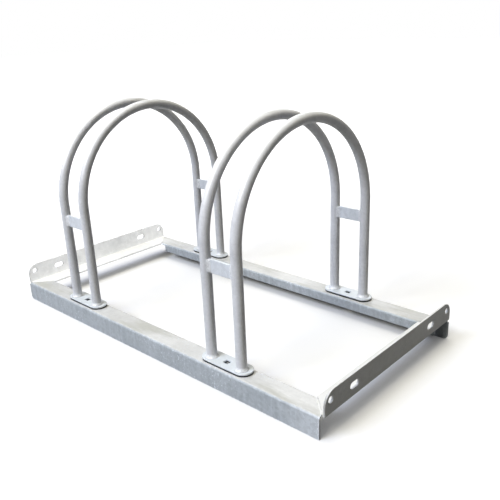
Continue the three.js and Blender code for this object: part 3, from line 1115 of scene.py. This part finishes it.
def makeWasher(end, leg, side):
    node = f"{end}_{leg}_{side}_foot_washer"
    foot, _ = legPlace(end, leg, side)
    low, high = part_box(node)
    outer = (high.x - low.x) / 2
    inner = washer["bore"] / 2
    centre = ((outer + inner) / 2, (low.z + high.z) / 2)
    section = roundedBox(centre, (outer - inner, high.z - low.z), washer["edge"], washer["edgeSteps"])
    rings = []
    for step in range(washer["steps"]):
        turn = 2 * math.pi * step / washer["steps"]
        cos, sin = math.cos(turn), math.sin(turn)
        rings.append([Vector((foot.x + p.x * cos, foot.y + p.x * sin, p.y)) for p in section])
    fitPiece(node + "_ring", skin(rings, True), node, finishes["fastener"])


for end in ends:
    for side in sides:
        for leg in legs:
            makeScrew(end, leg, side)
            makeWasher(end, leg, side)
print("screws and washers fitted")

# floor, lamps and surroundings

studio = {
    "floorSize": 24,
    "floorShown": (0.66, 0.66, 0.66),
    "floorGlow": (0.42, 1.0),  # near the rack and far away
    "glowStart": 0.5,
    "glowFull": 1.3,
    "paintedShadowReach": 70 * mm,  # painted contact shadow: the glow dies away under anything closer than this
    "paintedShadowSamples": 8,
    "floorBounce": (0.10, 0.098, 0.092),
    "sky": (0.012, 0.012, 0.012),
    "lampDistance": 6.4,
    "lampSize": 2.8,
}

lamps = {
    "coolFront": {"towards": (-0.25, -0.68, 0.69), "power": 280, "colour": (0.70, 0.775, 1)},
    "warmFront": {"towards": (0.04, -0.77, 0.64), "power": 196, "colour": (1, 0.98, 0.86)},
    "overhead": {"towards": (0, 0, 1), "power": 180, "colour": (1, 0.95, 0.80)},
    "back": {"towards": (-0.5, 0.85, 0.16), "power": 90, "colour": (0.95, 0.97, 1)},
    "leftPlate": {
        "towards": (0.97, 0.1, 0.18),
        "power": 620,
        "colour": (0.94, 0.95, 1),
        "only": "left_end_angle_plate",
    },
}


def shownRays(board):
    # 1 for rays that show the surroundings: to the camera, in gloss and through glass
    path = board.add("ShaderNodeLightPath").outputs
    seen = board.maths("MAXIMUM", path["Is Camera Ray"], path["Is Glossy Ray"])
    return board.maths("MAXIMUM", seen, path["Is Transmission Ray"])


def layFloor():
    size = studio["floorSize"]
    bm = bmesh.new()
    bmesh.ops.create_grid(bm, x_segments=1, y_segments=1, size=size / 2)
    mesh = bpy.data.meshes.new("floor")
    bm.to_mesh(mesh)
    bm.free()
    floor = bpy.data.objects.new("floor", mesh)
    bpy.context.scene.collection.objects.link(floor)
    material = bpy.data.materials.new("pale_floor")
    material.use_nodes = True
    material.node_tree.nodes.clear()
    board = NodeBoard(material.node_tree)
    # lit by the lamps near the rack, and fading into the white surroundings further off
    place = board.add("ShaderNodeTexCoord").outputs["Object"]
    distance = board.add("ShaderNodeVectorMath", {"operation": "LENGTH"}, Vector=place).outputs["Value"]
    glow = board.spread(distance, studio["glowStart"], studio["glowFull"], *studio["floorGlow"])
    # painted contact shadow: ambient occlusion dims the glow under and beside the rack
    paintedShadow = board.add("ShaderNodeAmbientOcclusion", Distance=studio["paintedShadowReach"])
    paintedShadow.samples = studio["paintedShadowSamples"]
    glow = board.maths("MULTIPLY", glow, paintedShadow.outputs["AO"])
    lit = board.add("ShaderNodeBsdfDiffuse", Color=opaque(studio["floorShown"]))
    glowing = board.add("ShaderNodeEmission", Strength=glow)
    shown = board.add("ShaderNodeAddShader")
    board.feed(shown.inputs[0], lit.outputs[0])
    board.feed(shown.inputs[1], glowing.outputs[0])
    bounce = board.add("ShaderNodeBsdfDiffuse", Color=opaque(studio["floorBounce"]))
    mixed = board.add("ShaderNodeMixShader", Fac=shownRays(board))
    board.feed(mixed.inputs[1], bounce.outputs[0])
    board.feed(mixed.inputs[2], shown.outputs[0])
    board.add("ShaderNodeOutputMaterial", Surface=mixed.outputs[0])
    mesh.materials.append(material)


def setWorld():
    world = bpy.data.worlds.new("studio")
    world.use_nodes = True
    world.node_tree.nodes.clear()
    board = NodeBoard(world.node_tree)
    dim = board.add("ShaderNodeBackground", Color=opaque(studio["sky"]))
    white = board.add("ShaderNodeBackground", Color=(1, 1, 1, 1))
    mixed = board.add("ShaderNodeMixShader", Fac=shownRays(board))
    board.feed(mixed.inputs[1], dim.outputs[0])
    board.feed(mixed.inputs[2], white.outputs[0])
    board.add("ShaderNodeOutputWorld", Surface=mixed.outputs[0])
    bpy.context.scene.world = world


def hangLamp(name, lamp):
    data = bpy.data.lights.new(name, "AREA")
    data.shape = "DISK"
    data.size = studio["lampSize"]
    data.energy = lamp["power"]
    data.color = lamp["colour"]
    light = bpy.data.objects.new(name, data)
    towards = Vector(lamp["towards"]).normalized()
    turn = towards.to_track_quat("Z", "Y").to_matrix().to_4x4()
    light.matrix_world = Matrix.Translation(studio["lampDistance"] * towards) @ turn
    light.visible_camera = False
    bpy.context.scene.collection.objects.link(light)
    if "only" in lamp:
        # lights one piece, and nothing else throws a shadow from it
        lit = bpy.data.collections.new(name + "_lit")
        lit.objects.link(bpy.data.objects[lamp["only"]])
        light.light_linking.receiver_collection = lit
        light.light_linking.blocker_collection = lit


layFloor()
setWorld()
for lampName, lamp in lamps.items():
    hangLamp(lampName, lamp)
bpy.context.scene.view_settings.view_transform = "Standard"
print("studio lit")
